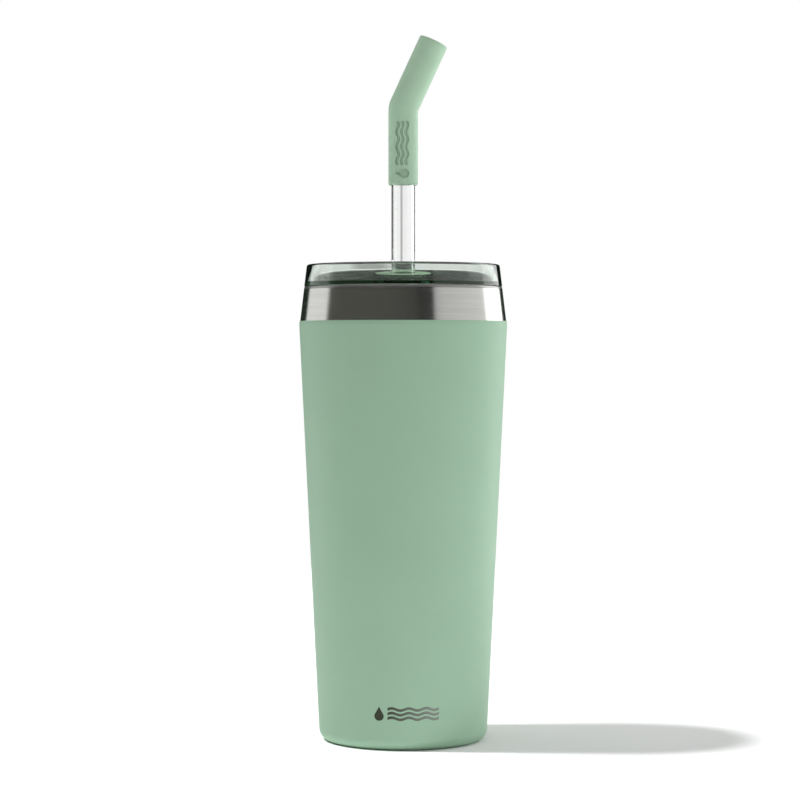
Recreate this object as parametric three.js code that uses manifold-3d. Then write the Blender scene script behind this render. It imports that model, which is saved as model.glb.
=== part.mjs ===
// An insulated drinking tumbler: a double-walled steel cup, a clear press-in lid, and a glass
// straw with a bent silicone mouthpiece. Millimetres, +Z up. The origin is the centre of the
// standing ring, on the surface that the tumbler stands on. The mouthpiece bends towards +X.
import * as THREE from "three";
import { mergeVertices } from "three/addons/utils/BufferGeometryUtils.js";
import Module from "manifold-3d";

const wasm = await Module();
wasm.setup();

// ---------------------------------------------------------------- driving dimensions

// The outer steel wall widens from the base to the shoulder and narrows again to the rim.
const base = { radius: 33.68, corner: 4.7 }; // radius: the wall's line run down to the floor
const shoulder = { radius: 41.87, height: 168, round: 10 };
const rim = { radius: 40.05, aboveShoulder: 15.2 };
const shellWall = 0.5;

// The colour stops a little above the shoulder, and at the edge of the standing ring.
const coat = { thickness: 0.2, clearance: 0.02, aboveShoulder: 1.4, footGap: 0.05 };

const liner = { wall: 0.4, vacuumGap: 3, floor: 9.5, corner: 8 }; // floor, corner: the inner face
const neck = { depth: 12.2, blend: 5, leastGap: 1 }; // the lid's straight seat, and the slope below
const lip = { width: 2.35, thickness: 0.9, round: 0.35, weldGap: 0.1 };

const foil = { thickness: 0.2, clearance: 0.3, margin: 4 };

const foot = { ringRadius: 27.9, flangeHeight: 3.2 }; // the turned-in edge of the outer wall
const cap = { wall: 0.5, weldGap: 0.1, recess: 2.1, skirtLift: 0.7, chamfer: 0.4 };
const dimple = { radius: 5.5, height: 1.1, slope: 0.5, hole: 1.3 };
const bead = { radius: 4.2, clearance: 0.15, height: 0.9, edge: 0.4 };
const disc = { thickness: 0.5, gap: 0.3, sideGap: 0.3, chamfer: 0.15 };

const getter = { radius: 4, thickness: 1.5, offset: 14, gap: 0.3 };
const clip = { thickness: 0.3, width: 3, foot: 3, gap: 0.3 };

const lid = {
  seatGap: 0.2, // between the steel lip and the flange that rests on it
  rise: 8.8,
  taper: 0.95, // how much narrower the top is than the flange
  edge: 1,
  rimWidth: 2.3,
  draft: 0.4, // how far the recess narrows on its way down to the deck
  deckDepth: 7.2,
  deckCorner: 1,
  deckThickness: 1.5,
};
const plug = { clearance: 0.9, wall: 2.2, depth: 9.5, chamfer: 0.6, rootRound: 1 };
const groove = { up: 2.2, height: 3.4, depth: 1.1 };
const seal = { clearance: 0.1, lipTip: 0.4, lipRoot: 0.8, collar: 0.1, proud: 0.15 };
const vent = { radius: 0.9, offset: 24, azimuth: 180 };

const straw = { radius: 4.75, wall: 1.15, aboveLid: 56.8, floorGap: 0.5, polish: 0.35 };

const grommet = {
  bore: 0.1, // the clearance round the straw
  neckWall: 2.5,
  neckClearance: 0.15,
  upperFlange: 11.2,
  lowerFlange: 10.8,
  flangeThickness: 0.9,
  flangeGap: 0.1,
  edge: 0.35,
};

const mouthpiece = {
  wall: 1.15, // over the glass
  clearance: 0.1,
  overlap: 24.8, // how far it is pushed on to the straw
  stopGap: 0.3,
  bendAbove: 4.9, // from the inner stop to the start of the bend
  bendAngle: THREE.MathUtils.degToRad(24.8),
  bendSlack: 0.3, // how far the pivot of the bend stands outside the tube
  tipLength: 28.2,
  bottomEdge: 0.9,
  tipEdge: 0.6,
};

const wideSegments = 36; // round the cup and the lid
const narrowSegments = 24; // round the straw and what is on it
const cornerSteps = 4;

// ---------------------------------------------------------------- materials

function finish(color, roughness, metalness) {
  return new THREE.MeshStandardMaterial({ color, roughness, metalness });
}

function clear(color, opacity) {
  return new THREE.MeshStandardMaterial({ color, opacity, transparent: true, roughness: 0.05 });
}

const steel = () => finish(0xb9b9b5, 0.3, 1);
const powderPaint = () => finish(0xa3bea7, 0.55, 0);
const silicone = () => finish(0xa3c0a8, 0.6, 0);
const aluminiumFoil = () => finish(0xd0d2d4, 0.35, 1);
const getterAlloy = () => finish(0x75767a, 0.6, 1);
const glassSolder = () => finish(0x4a4c50, 0.3, 0);
const tintedPlastic = () => clear(0x8fa88f, 0.45);
const clearGlass = () => clear(0xe8eeea, 0.35);

// ---------------------------------------------------------------- shared geometry

// A profile is a list of [radius, height] points.
const point = (radius, height) => new THREE.Vector2(radius, height);
const degrees = THREE.MathUtils.radToDeg;

function arc(radius, height, size, from, to, steps) {
  const points = [];
  for (let i = 0; i <= steps; i += 1) {
    const angle = THREE.MathUtils.degToRad(from + ((to - from) * i) / steps);
    points.push(point(radius + size * Math.cos(angle), height + size * Math.sin(angle)));
  }
  return points;
}

// Spins a profile round the Z axis. It runs up its outside and down its inside.
function turned(profile, segments) {
  const closesOnAxis = profile[0].x === 0 && profile[profile.length - 1].x === 0;
  const outline = closesOnAxis ? profile : [...profile, profile[0].clone()];
  return new THREE.LatheGeometry(outline, segments).rotateX(Math.PI / 2);
}

function part(name, geometry, material) {
  const mesh = new THREE.Mesh(geometry, material);
  mesh.name = name;
  return mesh;
}

function solid(geometry) {
  const bare = geometry.clone();
  bare.deleteAttribute("normal");
  bare.deleteAttribute("uv");
  const merged = mergeVertices(bare, 1e-4);
  const vertProperties = new Float32Array(merged.getAttribute("position").array);
  const triVerts = new Uint32Array(merged.index.array);
  return new wasm.Manifold(new wasm.Mesh({ numProp: 3, vertProperties, triVerts }));
}

function geometryOf(manifold) {
  const mesh = manifold.getMesh();
  const geometry = new THREE.BufferGeometry();
  geometry.setAttribute("position", new THREE.BufferAttribute(mesh.vertProperties, 3));
  geometry.setIndex(new THREE.BufferAttribute(mesh.triVerts, 1));
  return geometry;
}

// ---------------------------------------------------------------- the cup's outline

const rimHeight = shoulder.height + rim.aboveShoulder;
const lowerSlope = (shoulder.radius - base.radius) / shoulder.height;
const upperSlope = (rim.radius - shoulder.radius) / rim.aboveShoulder;
const lowerLean = Math.hypot(1, lowerSlope);
const upperLean = Math.hypot(1, upperSlope);
const lowerWallAngle = degrees(-Math.atan(lowerSlope));

// Radii of the surface that lies inset millimetres inside the outer steel face.
const lowerRadius = (height, inset) => base.radius + lowerSlope * height - inset * lowerLean;
const upperRadius = (height, inset) =>
  rim.radius + upperSlope * (height - rimHeight) - inset * upperLean;

// The rounded corner between a floor and the lower wall, as an arc from the angle given.
function cornerArc(floor, size, inset, from = -90, to = lowerWallAngle, steps = cornerSteps) {
  const centreHeight = floor + size;
  const centreRadius = lowerRadius(centreHeight, inset) - size * lowerLean;
  return arc(centreRadius, centreHeight, size, from, to, steps);
}

// The rounded shoulder. Every inset surface shares its centre, which is inside the cup where the
// wall leans in above the shoulder, and outside it where the wall leans out.
function shoulderArc(inset) {
  const upperWallAngle = degrees(-Math.atan(upperSlope));
  const middle = THREE.MathUtils.degToRad((lowerWallAngle + upperWallAngle) / 2);
  const halfTurn = THREE.MathUtils.degToRad((upperWallAngle - lowerWallAngle) / 2);
  const side = upperWallAngle < lowerWallAngle ? -1 : 1;
  const reach = (side * shoulder.round) / Math.cos(halfTurn);
  const centreRadius = shoulder.radius - reach * Math.cos(middle);
  const centreHeight = shoulder.height - reach * Math.sin(middle);
  const size = side * shoulder.round - inset;
  return arc(centreRadius, centreHeight, size, lowerWallAngle, upperWallAngle, 2);
}

// ---------------------------------------------------------------- the cup

// The angle on the bottom corner at which the colour layer ends, just above the floor.
const coatOuter = coat.clearance + coat.thickness;
const coatEnd = degrees(-Math.asin((base.corner - coat.footGap) / (base.corner + coatOuter)));

function outerShell() {
  const top = rimHeight - lip.thickness - lip.weldGap;
  const innerCorner = base.corner - shellWall;
  const outside = [
    point(foot.ringRadius, 0),
    ...cornerArc(0, base.corner, 0, -90, coatEnd, 1),
    ...cornerArc(0, base.corner, 0, coatEnd).slice(1),
    ...shoulderArc(0),
    point(upperRadius(top, 0), top),
  ];
  const inside = [
    point(upperRadius(top, shellWall), top),
    ...shoulderArc(shellWall).reverse(),
    ...cornerArc(shellWall, innerCorner, shellWall).reverse(),
    point(foot.ringRadius, shellWall),
    point(foot.ringRadius, foot.flangeHeight),
    point(foot.ringRadius - shellWall, foot.flangeHeight),
    point(foot.ringRadius - shellWall, shellWall),
  ];
  return turned([...outside, ...inside], wideSegments);
}

function powderCoat() {
  const top = shoulder.height + coat.aboveShoulder;
  const face = (offset) => [
    ...cornerArc(-offset, base.corner + offset, -offset, coatEnd),
    ...shoulderArc(-offset),
    point(upperRadius(top, -offset), top),
  ];
  return turned([...face(coatOuter), ...face(coat.clearance).reverse()], wideSegments);
}

// The inner wall ends in a flared lip, which is welded to the top edge of the outer wall. Its
// straight mouth clears the outer wall at both of its ends.
const linerInset = shellWall + liner.vacuumGap;
const neckBottom = rimHeight - neck.depth;
const neckStart = neckBottom - neck.blend;
const neckLimit = upperRadius(neckBottom, shellWall) - neck.leastGap - liner.wall;
const mouthRadius = Math.min(rim.radius - lip.width, neckLimit);

function innerLiner() {
  const underLip = rimHeight - lip.thickness;
  const outside = [
    point(0, liner.floor - liner.wall),
    ...cornerArc(liner.floor - liner.wall, liner.corner + liner.wall, linerInset),
    point(lowerRadius(neckStart, linerInset), neckStart),
    point(mouthRadius + liner.wall, neckBottom),
    point(mouthRadius + liner.wall, underLip),
    point(upperRadius(underLip, 0), underLip),
    ...arc(rim.radius - lip.round, rimHeight - lip.round, lip.round, 0, 90, 2),
  ];
  const inside = [
    ...arc(mouthRadius + lip.round, rimHeight - lip.round, lip.round, 90, 180, 2),
    point(mouthRadius, neckBottom),
    point(lowerRadius(neckStart, linerInset + liner.wall), neckStart),
    ...cornerArc(liner.floor, liner.corner, linerInset + liner.wall).reverse(),
    point(0, liner.floor),
  ];
  return turned([...outside, ...inside], wideSegments);
}

// A thin reflecting wrap round the inner wall, in the vacuum.
function heatShield() {
  const bottom = liner.floor + liner.corner + foil.margin;
  const top = neckStart - foil.margin;
  const inner = linerInset - foil.clearance;
  const outer = inner - foil.thickness;
  const outline = [
    point(lowerRadius(bottom, outer), bottom),
    point(lowerRadius(top, outer), top),
    point(lowerRadius(top, inner), top),
    point(lowerRadius(bottom, inner), bottom),
  ];
  return turned(outline, wideSegments);
}

// The pressed plate that closes the outer wall. The air is drawn out through its centre hole.
const skirtRadius = foot.ringRadius - shellWall - cap.weldGap;
const capTop = cap.recess + cap.wall;
const dimpleCeiling = cap.recess + dimple.height;

function bottomCap() {
  const rampFoot = dimple.radius + dimple.slope;
  const outline = [
    point(skirtRadius - cap.wall, cap.skirtLift),
    point(skirtRadius, cap.skirtLift),
    point(skirtRadius, capTop - cap.chamfer),
    point(skirtRadius - cap.chamfer, capTop),
    point(rampFoot + cap.wall, capTop),
    point(dimple.radius + cap.wall, capTop + dimple.height),
    point(dimple.hole, capTop + dimple.height),
    point(dimple.hole, dimpleCeiling),
    point(dimple.radius, dimpleCeiling),
    point(rampFoot, cap.recess),
    point(skirtRadius - cap.wall, cap.recess),
  ];
  return turned(outline, wideSegments);
}

function sealBead() {
  const top = dimpleCeiling - bead.clearance;
  const bottom = top - bead.height;
  const outline = [
    point(0, bottom),
    point(bead.radius - bead.edge, bottom + bead.edge / 2),
    point(bead.radius, bottom + bead.edge),
    point(bead.radius, top - bead.edge / 2),
    point(bead.radius - bead.edge, top),
    point(0, top),
  ];
  return turned(outline, narrowSegments);
}

function baseDisc() {
  const radius = skirtRadius - cap.wall - disc.sideGap;
  const top = cap.recess - disc.gap;
  const bottom = top - disc.thickness;
  const outline = [
    point(0, bottom),
    point(radius - disc.chamfer, bottom),
    point(radius, bottom + disc.chamfer),
    point(radius, top),
    point(0, top),
  ];
  return turned(outline, wideSegments);
}

// The getter keeps the vacuum. A bent strip holds it under the inner floor.
const getterTop = liner.floor - liner.wall - getter.gap;

function getterPellet() {
  const pellet = new THREE.CylinderGeometry(getter.radius, getter.radius, getter.thickness, 16);
  const middle = getterTop - getter.thickness / 2;
  return pellet.rotateX(Math.PI / 2).translate(getter.offset, 0, middle);
}

function getterClip() {
  const footTop = getterTop;
  const footBottom = footTop - clip.thickness;
  const stripTop = getterTop - getter.thickness - clip.gap;
  const stripBottom = stripTop - clip.thickness;
  const legInner = getter.radius + clip.gap;
  const legOuter = legInner + clip.thickness;
  const tip = legOuter + clip.foot;
  const half = [
    [tip, footTop],
    [legInner, footTop],
    [legInner, stripTop],
  ];
  const under = [
    [legOuter, stripBottom],
    [legOuter, footBottom],
    [tip, footBottom],
  ];
  const mirrored = (points) => points.map(([x, z]) => [-x, z]).reverse();
  const outline = [...half, ...mirrored(half), ...mirrored(under), ...under];
  const shape = new THREE.Shape(outline.map(([x, z]) => point(x, z)));
  const strip = new THREE.ExtrudeGeometry(shape, { depth: clip.width, bevelEnabled: false });
  return strip.rotateX(Math.PI / 2).translate(getter.offset, clip.width / 2, 0);
}

// ---------------------------------------------------------------- the lid

const flangeBottom = rimHeight + lid.seatGap;
const lidTop = flangeBottom + lid.rise;
const lidTopRadius = rim.radius - lid.taper;
const deckTop = lidTop - lid.deckDepth;
const deckBottom = deckTop - lid.deckThickness;
const plugOuter = mouthRadius - plug.clearance;
const plugInner = plugOuter - plug.wall;
const plugBottom = flangeBottom - plug.depth;
const grooveBottom = plugBottom + groove.up;
const grooveTop = grooveBottom + groove.height;
const grooveFloor = plugOuter - groove.depth;
const grommetBore = straw.radius + grommet.bore;
const grommetNeck = grommetBore + grommet.neckWall;
const grommetHole = grommetNeck + grommet.neckClearance;

function lidBody() {
  const recessTop = lidTopRadius - lid.rimWidth;
  const recessFoot = recessTop - lid.draft;
  const outside = [
    point(plugInner, plugBottom),
    point(plugOuter - plug.chamfer, plugBottom),
    point(plugOuter, plugBottom + plug.chamfer),
    point(plugOuter, grooveBottom),
    point(grooveFloor, grooveBottom),
    point(grooveFloor, grooveTop),
    point(plugOuter, grooveTop),
    point(plugOuter, flangeBottom),
    point(rim.radius, flangeBottom),
    ...arc(lidTopRadius - lid.edge, lidTop - lid.edge, lid.edge, 0, 90, 3),
  ];
  const inside = [
    ...arc(recessTop + lid.edge, lidTop - lid.edge, lid.edge, 90, 180, 3),
    ...arc(recessFoot - lid.deckCorner, deckTop + lid.deckCorner, lid.deckCorner, 0, -90, 3),
    point(grommetHole, deckTop),
    point(grommetHole, deckBottom),
    ...arc(plugInner - plug.rootRound, deckBottom - plug.rootRound, plug.rootRound, 90, 0, 2),
  ];
  const body = solid(turned([...outside, ...inside], wideSegments));
  const drill = new THREE.CylinderGeometry(vent.radius, vent.radius, lid.rise, 12);
  const azimuth = THREE.MathUtils.degToRad(vent.azimuth);
  const x = vent.offset * Math.cos(azimuth);
  const y = vent.offset * Math.sin(azimuth);
  drill.rotateX(Math.PI / 2).translate(x, y, deckTop);
  return geometryOf(body.subtract(solid(drill)));
}

// A ring with two soft lips, which press against the straight mouth of the inner wall.
function lidSeal() {
  const bottom = grooveBottom + seal.collar;
  const top = grooveTop - seal.collar;
  const inner = grooveFloor + seal.collar;
  const collar = plugOuter + seal.proud;
  const lipRadius = mouthRadius - seal.clearance;
  const tipDrop = (seal.lipRoot - seal.lipTip) / 2;
  const lipAt = (height) => [
    point(collar, height),
    point(lipRadius, height + tipDrop),
    point(lipRadius, height + tipDrop + seal.lipTip),
    point(collar, height + seal.lipRoot),
  ];
  const outline = [
    point(inner, bottom),
    ...lipAt(bottom),
    ...lipAt(top - seal.lipRoot),
    point(inner, top),
  ];
  return turned(outline, wideSegments);
}

// The soft ring that seals the straw in the lid. Its two flanges grip the deck between them.
function strawGrommet() {
  const underTop = deckTop + grommet.flangeGap;
  const top = underTop + grommet.flangeThickness;
  const overBottom = deckBottom - grommet.flangeGap;
  const bottom = overBottom - grommet.flangeThickness;
  const { edge, upperFlange, lowerFlange } = grommet;
  const outline = [
    point(grommetBore, bottom),
    ...arc(lowerFlange - edge, bottom + edge, edge, -90, 0, 2),
    point(lowerFlange, overBottom),
    point(grommetNeck, overBottom),
    point(grommetNeck, underTop),
    point(upperFlange, underTop),
    ...arc(upperFlange - edge, top - edge, edge, 0, 90, 2),
    point(grommetBore, top),
  ];
  return turned(outline, narrowSegments);
}

// ---------------------------------------------------------------- the straw

const strawBottom = liner.floor + straw.floorGap;
const strawTop = lidTop + straw.aboveLid;
const strawBore = straw.radius - straw.wall;

function glassStraw() {
  const { radius, polish } = straw;
  const outline = [
    point(strawBore + polish, strawBottom),
    point(radius - polish, strawBottom),
    point(radius, strawBottom + polish),
    point(radius, strawTop - polish),
    point(radius - polish, strawTop),
    point(strawBore + polish, strawTop),
    point(strawBore, strawTop - polish),
    point(strawBore, strawBottom + polish),
  ];
  return turned(outline, narrowSegments);
}

// Turns everything above the start of the bend about a pivot beside the tube.
function bent(geometry, start, pivotX) {
  const position = geometry.getAttribute("position");
  for (let i = 0; i < position.count; i += 1) {
    const above = position.getZ(i) - start;
    const angle = THREE.MathUtils.clamp(above / pivotX, 0, mouthpiece.bendAngle);
    const reach = pivotX - position.getX(i);
    const straight = above - angle * pivotX;
    const x = pivotX - reach * Math.cos(angle) + straight * Math.sin(angle);
    const z = start + reach * Math.sin(angle) + straight * Math.cos(angle);
    position.setXYZ(i, x, position.getY(i), z);
  }
  return geometry;
}

function softMouthpiece() {
  const { bottomEdge, tipEdge, clearance } = mouthpiece;
  const socket = straw.radius + clearance;
  const radius = socket + mouthpiece.wall;
  const bottom = strawTop - mouthpiece.overlap;
  const stop = strawTop + mouthpiece.stopGap;
  const bendStart = stop + mouthpiece.bendAbove;
  const pivotX = radius + mouthpiece.bendSlack;
  const bendLength = pivotX * mouthpiece.bendAngle;
  const top = bendStart + bendLength + mouthpiece.tipLength;
  const bendSteps = 4;
  const throughBend = (ringRadius) => {
    const rings = [];
    for (let i = 0; i <= bendSteps; i += 1) {
      rings.push(point(ringRadius, bendStart + (bendLength * i) / bendSteps));
    }
    return rings;
  };
  const outside = [
    point(socket, bottom),
    ...arc(radius - bottomEdge, bottom + bottomEdge, bottomEdge, -90, 0, 2),
    ...throughBend(radius),
    ...arc(radius - tipEdge, top - tipEdge, tipEdge, 0, 90, 2),
  ];
  const inside = [
    point(strawBore, top),
    ...throughBend(strawBore).reverse(),
    point(strawBore, stop),
    point(socket, stop),
  ];
  return bent(turned([...outside, ...inside], narrowSegments), bendStart, pivotX);
}

// ---------------------------------------------------------------- the assembly

const cup = new THREE.Group().add(
  part("outer_shell", outerShell(), steel()),
  part("powder_coat", powderCoat(), powderPaint()),
  part("inner_liner", innerLiner(), steel()),
  part("heat_shield", heatShield(), aluminiumFoil()),
  part("bottom_cap", bottomCap(), steel()),
  part("vacuum_seal", sealBead(), glassSolder()),
  part("base_disc", baseDisc(), steel()),
  part("getter", getterPellet(), getterAlloy()),
  part("getter_clip", getterClip(), steel()),
);

const lidGroup = new THREE.Group().add(
  part("lid_body", lidBody(), tintedPlastic()),
  part("lid_seal", lidSeal(), silicone()),
  part("straw_grommet", strawGrommet(), silicone()),
);

const strawGroup = new THREE.Group().add(
  part("glass_straw", glassStraw(), clearGlass()),
  part("mouthpiece", softMouthpiece(), silicone()),
);

export default new THREE.Group().add(cup, lidGroup, strawGroup);
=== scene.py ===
import math

import bpy
from bpy.props import FloatProperty, FloatVectorProperty, IntProperty, PointerProperty
from bpy.types import Operator, Panel, PropertyGroup
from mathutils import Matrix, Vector


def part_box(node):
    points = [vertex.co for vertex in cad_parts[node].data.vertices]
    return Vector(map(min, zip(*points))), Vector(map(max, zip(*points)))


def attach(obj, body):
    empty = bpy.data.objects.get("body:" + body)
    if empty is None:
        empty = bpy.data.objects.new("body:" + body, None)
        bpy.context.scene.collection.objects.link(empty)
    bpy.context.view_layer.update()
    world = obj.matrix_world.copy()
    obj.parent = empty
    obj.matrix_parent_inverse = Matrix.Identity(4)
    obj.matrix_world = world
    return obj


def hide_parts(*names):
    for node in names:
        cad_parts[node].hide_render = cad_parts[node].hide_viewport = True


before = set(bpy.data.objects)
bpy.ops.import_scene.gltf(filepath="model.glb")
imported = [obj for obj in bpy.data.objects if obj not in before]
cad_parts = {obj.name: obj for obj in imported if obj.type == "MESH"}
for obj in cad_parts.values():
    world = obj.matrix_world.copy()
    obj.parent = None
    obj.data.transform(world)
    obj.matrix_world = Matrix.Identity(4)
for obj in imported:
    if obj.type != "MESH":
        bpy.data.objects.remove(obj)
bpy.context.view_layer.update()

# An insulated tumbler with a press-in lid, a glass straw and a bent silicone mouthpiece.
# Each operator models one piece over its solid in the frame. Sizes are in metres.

bl_info = {
    "name": "Insulated Tumbler",
    "version": (1, 0, 0),
    "blender": (4, 5, 0),
    "location": "View3D > Sidebar > Tumbler",
    "description": "Models a vacuum tumbler with a clear lid, a glass straw and a soft mouthpiece",
    "category": "Object",
}

WELD = 2e-6  # points closer than this are one point
EASED = 0.00015  # the small radius on an edge that isn't sharp
SMOOTH_ANGLE = math.radians(40)

# The marks. Each is (across, up, width, height), and its cutter runs from front to back along Y.
CUP_MARK = (0.0013, 0.01485, 0.0254, 0.0056)
CUP_MARK_CUTTER = (-0.050, -0.030)
CUP_MARK_BAND = (0.006, 0.026)  # the heights between which its floor follows the wall
TIP_MARK = (0.0, 0.0, 0.0228, 0.0056)  # drawn level, then stood upright
TIP_MARK_CUTTER = (-0.010, -0.003)
TIP_MARK_SIDE = -0.0004
TIP_MARK_UP = 0.0142  # above the mouthpiece's foot
TIP_MARK_PAINTED_SHADE = 0.82  # painted shade: how much darker the mark's recess is painted than the silicone round it


def low(node):
    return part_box(node)[0].z


def high(node):
    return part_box(node)[1].z


def reach(node):
    """The radius of a node that is round about the Z axis."""
    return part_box(node)[1].y


# ------------------------------------------------------------------ sizes and colours


def length(name, description, default):
    return FloatProperty(
        name=name, description=description, default=default, min=0.0, unit="LENGTH"
    )


def tint(name, description, default):
    return FloatVectorProperty(
        name=name, description=description, default=default, size=3, min=0.0, max=1.0, subtype="COLOR"
    )


class CupSizes(PropertyGroup):
    """Sizes of the steel cup, in half section."""

    base_radius: length("Base radius", "Outer wall's line run down to the floor", 0.03368)
    foot_corner: length("Foot corner", "Radius of the rounded foot", 0.0047)
    shoulder_radius: length("Shoulder radius", "Where the wall's two slopes would meet", 0.04187)
    shoulder_height: length("Shoulder height", "Height of the widest place", 0.168)
    shoulder_round: length("Shoulder round", "Radius that softens the shoulder", 0.010)
    shell_wall: length("Outer wall", "Thickness of the outer steel wall", 0.0005)
    coat_thickness: length("Coat thickness", "Thickness of the baked colour", 0.0002)
    coat_clearance: length("Coat clearance", "Gap between steel and colour", 0.00002)
    coat_foot_gap: length("Coat foot gap", "How far the colour stays off the floor", 0.00005)
    liner_wall: length("Inner wall", "Thickness of the inner steel wall", 0.0004)
    liner_corner: length("Inner corner", "Radius between the inner floor and wall", 0.008)
    vacuum_gap: length("Vacuum gap", "Space between the two walls", 0.003)
    neck_depth: length("Neck depth", "Height of the lid's straight seat", 0.0122)
    neck_blend: length("Neck blend", "Height of the slope below the seat", 0.005)
    lip_width: length("Lip width", "Width of the welded lip", 0.00235)
    lip_thickness: length("Lip thickness", "Thickness of the welded lip", 0.0009)
    lip_round: length("Lip round", "Radius on the lip's edges", 0.00035)
    ring_radius: length("Standing ring", "Inner radius of the standing ring", 0.0279)
    ring_flange: length("Ring flange", "Height of the turned-in edge", 0.0032)
    plate_wall: length("Plate wall", "Thickness of the bottom plate", 0.0005)
    mark_depth: length("Mark depth", "Depth of the etched mark", 0.00006)
    turns: IntProperty(name="Turns", description="Facets round the cup", default=192, min=24)


class LidSizes(PropertyGroup):
    """Sizes of the lid, its seal and its grommet."""

    taper: length("Taper", "How much narrower the top is than the flange", 0.00095)
    edge: length("Edge", "Radius on the rim", 0.001)
    rim_width: length("Rim width", "Width of the rim at the top", 0.0023)
    draft: length("Draft", "How far the recess narrows downwards", 0.00027)
    deck_depth: length("Deck depth", "Depth of the recess", 0.0075)
    deck_corner: length("Deck corner", "Radius between rim and deck", 0.0004)
    deck_thickness: length("Deck thickness", "Thickness of the deck", 0.0012)
    plug_wall: length("Plug wall", "Thickness of the plug", 0.0022)
    plug_depth: length("Plug depth", "Depth of the plug below the flange", 0.0095)
    plug_clearance: length("Plug clearance", "Gap between plug and cup", 0.0009)
    groove_up: length("Groove place", "Height of the groove above the plug's foot", 0.0022)
    groove_height: length("Groove height", "Height of the seal's groove", 0.0034)
    groove_depth: length("Groove depth", "Depth of the seal's groove", 0.0011)
    vent_radius: length("Vent radius", "Radius of the air hole", 0.0009)
    vent_offset: length("Vent offset", "Distance of the air hole from the axis", 0.024)
    neck_wall: length("Grommet neck wall", "Thickness of the grommet's neck", 0.0025)
    bore_clearance: length("Grommet bore clearance", "Gap round the straw", 0.0001)
    neck_clearance: length("Grommet neck clearance", "Gap between grommet and deck", 0.00015)
    flange: length("Grommet flange", "Thickness of the grommet's flanges", 0.0009)
    flange_edge: length("Flange edge", "Thickness of the upper flange at its edge", 0.00025)
    flange_gap: length("Grommet flange gap", "Gap between flange and deck", 0.0001)
    lower_flange: length("Lower flange", "Radius of the grommet's lower flange", 0.0108)


class StrawSizes(PropertyGroup):
    """Sizes of the straw and of the mouthpiece on it."""

    wall: length("Glass wall", "Thickness of the glass", 0.00115)
    polish: length("Polish", "Radius of the fire-polished ends", 0.0005)
    clearance: length("Clearance", "Gap between glass and silicone", 0.0001)
    silicone_wall: length("Silicone wall", "Thickness of silicone over the glass", 0.00115)
    stop_gap: length("Stop gap", "Gap above the end of the straw", 0.0003)
    bend_above: length("Bend above", "Height from the stop to the bend", 0.0049)
    bend_angle: FloatProperty(
        name="Bend angle",
        description="How far the mouthpiece leans",
        default=math.radians(24.8),
        subtype="ANGLE",
    )
    bend_slack: length("Bend slack", "How far the bend's pivot stands outside the tube", 0.0003)
    tip_length: length("Tip length", "Length of the part that leans", 0.0282)
    bottom_edge: length("Bottom edge", "Radius on the lower edge", 0.0009)
    tip_edge: length("Tip edge", "Radius on the upper edge", 0.0006)
    mark_depth: length("Mark depth", "Depth of the moulded mark", 0.00045)
    turns: IntProperty(name="Turns", description="Facets round the straw", default=128, min=24)


class FinishColours(PropertyGroup):
    """Colours of the finishes."""

    paint: tint("Powder coat", "Baked colour of the cup", (0.365, 0.562, 0.405))
    steel: tint("Steel", "Brushed steel", (0.62, 0.62, 0.60))
    silicone: tint("Silicone", "Mouthpiece and seal", (0.50, 0.73, 0.53))
    grommet: tint("Grommet", "Ring round the straw", (0.52, 0.80, 0.52))
    lid: tint("Lid tint", "What the clear plastic lets through", (0.32, 0.48, 0.36))
    floor: tint("Floor", "Floor of the set", (0.90, 0.90, 0.90))


# ------------------------------------------------------------------ modelling steps


def deselect():
    if bpy.context.object and bpy.context.object.mode != "OBJECT":
        bpy.ops.object.mode_set(mode="OBJECT")
    bpy.ops.object.select_all(action="DESELECT")


def pick(piece):
    deselect()
    bpy.context.view_layer.objects.active = piece
    piece.select_set(True)


def settle(piece):
    """Leaves edit mode, with the piece's place in its mesh."""
    if piece.mode != "OBJECT":
        bpy.ops.object.mode_set(mode="OBJECT")
    bpy.ops.object.transform_apply(location=True, rotation=True, scale=True)
    return piece


def drawn(name, outline):
    """Draws an outline in the XZ plane by extruding a point along it, and stays in edit mode.
    The outline is closed, unless both its ends are on the Z axis."""
    deselect()
    x, z = outline[0]
    bpy.ops.mesh.primitive_plane_add(size=0.001, location=(x, 0, z))
    piece = bpy.context.object
    piece.name = piece.data.name = name
    bpy.ops.object.mode_set(mode="EDIT")
    bpy.ops.mesh.merge(type="CENTER")
    on_axis = x < WELD and outline[-1][0] < WELD
    for next_x, next_z in outline[1:] if on_axis else outline[1:] + outline[:1]:
        bpy.ops.mesh.extrude_region_move(TRANSFORM_OT_translate={"value": (next_x - x, 0, next_z - z)})
        x, z = next_x, next_z
    bpy.ops.mesh.select_all(action="SELECT")
    bpy.ops.mesh.remove_doubles(threshold=WELD)
    return piece


def welded(piece):
    """Welds a closed surface, and turns its faces outwards."""
    bpy.ops.mesh.select_all(action="SELECT")
    bpy.ops.mesh.remove_doubles(threshold=WELD)
    bpy.ops.mesh.normals_make_consistent(inside=False)
    return settle(piece)


def turned(name, outline, turns):
    """Spins a half section round the Z axis."""
    piece = drawn(name, outline)
    bpy.ops.mesh.spin(steps=turns, angle=math.tau, center=(0, 0, 0), axis=(0, 0, 1))
    return welded(piece)


def prism(name, outline, front, back):
    """Fills an outline and extrudes it along Y, from front to back."""
    piece = drawn(name, outline)
    bpy.ops.mesh.edge_face_add()
    bpy.ops.transform.translate(value=(0, front, 0))
    bpy.ops.mesh.extrude_region_move(TRANSFORM_OT_translate={"value": (0, back - front, 0)})
    bpy.ops.mesh.select_all(action="SELECT")
    bpy.ops.mesh.normals_make_consistent(inside=False)
    return settle(piece)


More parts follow.
